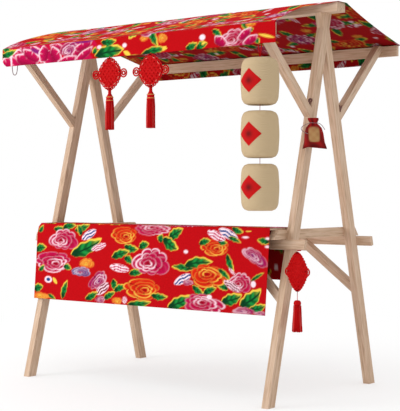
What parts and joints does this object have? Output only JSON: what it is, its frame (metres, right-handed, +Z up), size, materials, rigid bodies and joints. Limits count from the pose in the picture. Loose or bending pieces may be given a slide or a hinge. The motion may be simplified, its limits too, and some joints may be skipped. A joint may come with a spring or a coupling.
{
  "type": "market stall",
  "caption": "Timber market stall with crossed-leg frames, a printed cloth canopy, a narrow draped counter, woven knots, tassels and lanterns.",
  "frame": {"origin": "on the ground under the middle of the stall's bounding box", "axes": "+X along the ridge to the right seen from the selling side, -Y towards the selling side, +Z up"},
  "size_m": [1.963, 1.2899, 2.0155],
  "materials": {
    "pine": "planed, unvarnished",
    "printed_cotton": "matt",
    "red_cord": "satin",
    "lantern_fabric": "matt, fine ribs",
    "pouch_fabric": "satin",
    "dark_iron": "dull"
  },
  "bodies": {
    "root": {"front_left_leg": "pine", "back_left_leg": "pine", "front_right_leg": "pine", "back_right_leg": "pine", "ridge_beam": "pine", "front_eave_board": "pine", "back_eave_board": "pine", "front_left_canopy_brace": "pine", "back_left_canopy_brace": "pine", "front_right_canopy_brace": "pine", "back_right_canopy_brace": "pine", "front_rail": "pine", "back_rail": "pine", "left_cross_rail": "pine", "right_cross_rail": "pine", "counter_board": "pine", "front_left_table_brace": "pine", "back_left_table_brace": "pine", "front_right_table_brace": "pine", "back_right_table_brace": "pine", "canopy_cloth": "printed_cotton", "tablecloth": "printed_cotton", "left_knot": "red_cord", "middle_knot": "red_cord", "rail_knot": "red_cord", "rail_knot_tie": "red_cord", "left_tassel": "red_cord", "middle_tassel": "red_cord", "rail_tassel": "red_cord", "lantern_cord": "red_cord", "string_loop": "red_cord", "top_lantern": "lantern_fabric", "middle_lantern": "lantern_fabric", "bottom_lantern": "lantern_fabric", "drawstring_pouch": "pouch_fabric", "front_hook": "dark_iron", "back_hook": "dark_iron"}
  },
  "joints": []
}
